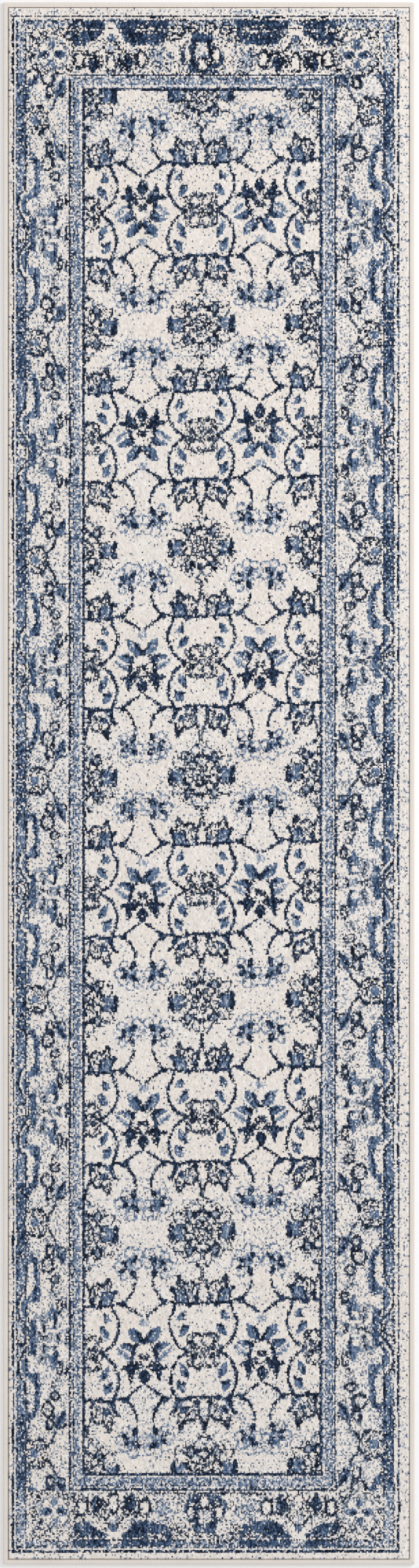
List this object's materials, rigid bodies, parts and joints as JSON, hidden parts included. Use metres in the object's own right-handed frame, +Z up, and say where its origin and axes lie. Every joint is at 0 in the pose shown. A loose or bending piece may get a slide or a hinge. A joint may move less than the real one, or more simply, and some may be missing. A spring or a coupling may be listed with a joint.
{
  "type": "runner rug",
  "caption": "Flat woven runner with a cut pile in field, guard stripe and border bands, an overcast edging over a cord on every side and a sized back.",
  "frame": {"origin": "on the floor, under the middle of the rug", "axes": "+Y along the length towards the head end, +X across the width to the right, +Z up out of the pile"},
  "size_m": [0.79, 3, 0.01],
  "materials": {
    "field_yarn": "cut pile of heat-set yarn, cream ground with navy, mid blue and pale blue tufts",
    "border_yarn": "cut pile of heat-set yarn, cream and blue tufts mixed for a worn look",
    "guard_yarn": "cut pile of heat-set yarn, pale and mid blue tufts",
    "blue_band_yarn": "cut pile of heat-set yarn, mid blue and navy tufts",
    "outer_band_yarn": "cut pile of heat-set yarn, cream with scattered grey-blue tufts",
    "edging_yarn": "overcast yarn wrapped side by side, dull beige",
    "edge_cord": "undyed cotton cord",
    "seam_thread": "twisted brown sewing thread",
    "ground_weft": "jute weft, ribbed",
    "ground_warp": "undyed cotton warp",
    "back_coating": "thin latex size, matt"
  },
  "bodies": {
    "root": {"back_coating": "back_coating", "lower_weft": "ground_weft", "stuffer_warp": "ground_warp", "upper_weft": "ground_weft", "field_pile": "field_yarn", "outer_band_left": "outer_band_yarn", "outer_band_right": "outer_band_yarn", "outer_band_head": "outer_band_yarn", "outer_band_foot": "outer_band_yarn", "blue_band_left": "blue_band_yarn", "blue_band_right": "blue_band_yarn", "blue_band_head": "blue_band_yarn", "blue_band_foot": "blue_band_yarn", "main_border_left": "border_yarn", "main_border_right": "border_yarn", "main_border_head": "border_yarn", "main_border_foot": "border_yarn", "guard_stripe_left": "guard_yarn", "guard_stripe_right": "guard_yarn", "guard_stripe_head": "guard_yarn", "guard_stripe_foot": "guard_yarn", "edging_left": "edging_yarn", "edging_right": "edging_yarn", "edging_head": "edging_yarn", "edging_foot": "edging_yarn", "edge_cord_left": "edge_cord", "edge_cord_right": "edge_cord", "edge_cord_head": "edge_cord", "edge_cord_foot": "edge_cord", "seam_thread_left": "seam_thread", "seam_thread_right": "seam_thread", "seam_thread_head": "seam_thread", "seam_thread_foot": "seam_thread"}
  },
  "joints": []
}
